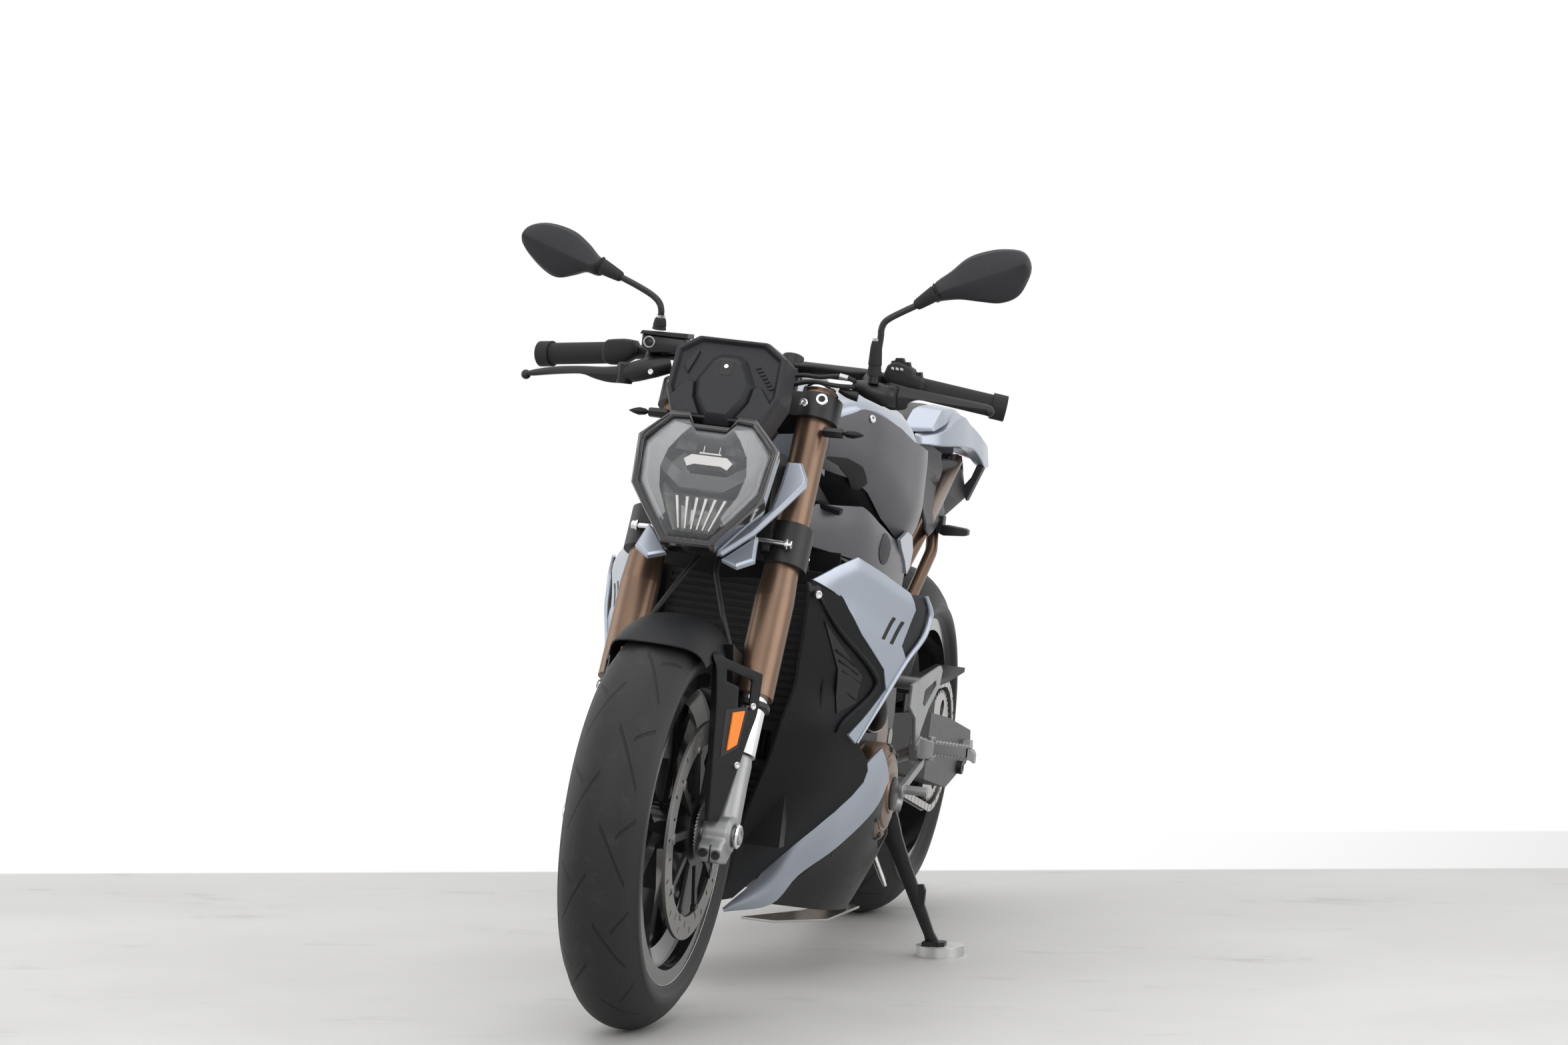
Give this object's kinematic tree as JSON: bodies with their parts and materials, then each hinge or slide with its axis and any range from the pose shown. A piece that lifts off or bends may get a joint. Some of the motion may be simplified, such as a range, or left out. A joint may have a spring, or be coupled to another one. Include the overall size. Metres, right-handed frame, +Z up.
{
  "type": "standard motorcycle",
  "caption": "Naked standard motorcycle leaning on its side stand, with turning wheels, steering, stand and filler cap.",
  "frame": {"origin": "on the ground under the middle of the overall box, with the motorcycle leaning on its side stand", "axes": "+Z up, -Y forward, +X to the motorcycle's left, towards the side stand"},
  "size_m": [0.8092, 2.0699, 1.1944],
  "materials": {
    "satin_blue_grey": "satin",
    "dark_plastic": "fine grained",
    "black_metal": "satin",
    "gloss_black": "gloss",
    "bronze_metal": "anodised",
    "cast_silver": "satin",
    "bright_steel": "polished",
    "brushed": "brushed",
    "heated_steel": "heat tinted",
    "rubber": "matt",
    "tyre": "matt",
    "seat_cover": "fine grained",
    "clear_lens": "clear",
    "red_lens": "gloss",
    "amber_lens": "gloss",
    "engine_metal": "satin",
    "puck_metal": "turned"
  },
  "bodies": {
    "chassis": {"belly_pan": "satin_blue_grey", "chain_guard": "dark_plastic", "drive_chain": "brushed", "engine": "engine_metal", "engine_covers": "bronze_metal", "exhaust": "heated_steel", "foot_controls": "cast_silver", "foot_pegs": "cast_silver", "front_sprocket": "brushed", "fuel_tank": "satin_blue_grey", "heel_plates": "cast_silver", "main_frame": "black_metal", "pillion_pegs": "cast_silver", "pillion_seat": "seat_cover", "pivot_bolt": "cast_silver", "radiator": "black_metal", "radiator_cowls": "dark_plastic", "radiator_shrouds": "satin_blue_grey", "rear_axle": "cast_silver", "rear_caliper": "black_metal", "rear_shock": "brushed", "rider_seat": "seat_cover", "side_covers": "dark_plastic", "stand_bracket": "cast_silver", "stand_puck": "puck_metal", "subframe": "bronze_metal", "swingarm": "cast_silver", "swingarm_arms": "cast_silver", "tail_light": "red_lens", "tail_plates": "satin_blue_grey", "tank_covers": "dark_plastic", "under_tail": "dark_plastic"},
    "steering": {"yokes": "black_metal", "fork_tubes": "bronze_metal", "fork_sliders": "bright_steel", "fork_feet": "cast_silver", "front_axle": "cast_silver", "front_calipers": "black_metal", "front_fender": "dark_plastic", "front_reflectors": "amber_lens", "handlebar": "black_metal", "grips": "rubber", "bar_controls": "black_metal", "mirrors": "dark_plastic", "headlight_shell": "dark_plastic", "headlight_lens": "clear_lens", "headlight_insert": "bright_steel", "headlight_fins": "satin_blue_grey", "display": "dark_plastic", "front_turn_signals": "dark_plastic", "brake_hoses": "rubber"},
    "front_wheel": {"front_rim": "gloss_black", "front_tyre": "tyre", "front_discs": "brushed"},
    "rear_wheel": {"rear_rim": "gloss_black", "rear_tyre": "tyre", "rear_disc": "brushed", "rear_sprocket": "brushed"},
    "side_stand": {"side_stand": "black_metal"},
    "fuel_cap": {"fuel_cap": "cast_silver"}
  },
  "joints": [
    {"name": "steering_turn", "type": "hinge", "parent": "chassis", "child": "steering", "pos_m": [-0.11054, -0.7027, 0.2838], "axis": [0.1112, 0.4099, 0.9053], "range_deg": [-30, 30]},
    {"name": "front_wheel_spin", "type": "hinge", "parent": "steering", "child": "front_wheel", "pos_m": [-0.10877, -0.735, 0.29821], "axis": [0.9925, 0, -0.1219], "continuous": true},
    {"name": "rear_wheel_spin", "type": "hinge", "parent": "chassis", "child": "rear_wheel", "pos_m": [-0.1063, 0.715, 0.31833], "axis": [0.9925, 0, -0.1219], "continuous": true},
    {"name": "side_stand_swing", "type": "hinge", "parent": "chassis", "child": "side_stand", "pos_m": [0.05848, 0.052, 0.24901], "axis": [0.9848, 0, 0.1736], "range_deg": [0, 74]},
    {"name": "fuel_cap_lid", "type": "hinge", "parent": "chassis", "child": "fuel_cap", "pos_m": [-0.02792, -0.21, 0.95671], "axis": [0.9925, 0, -0.1219], "range_deg": [0, 90]}
  ]
}
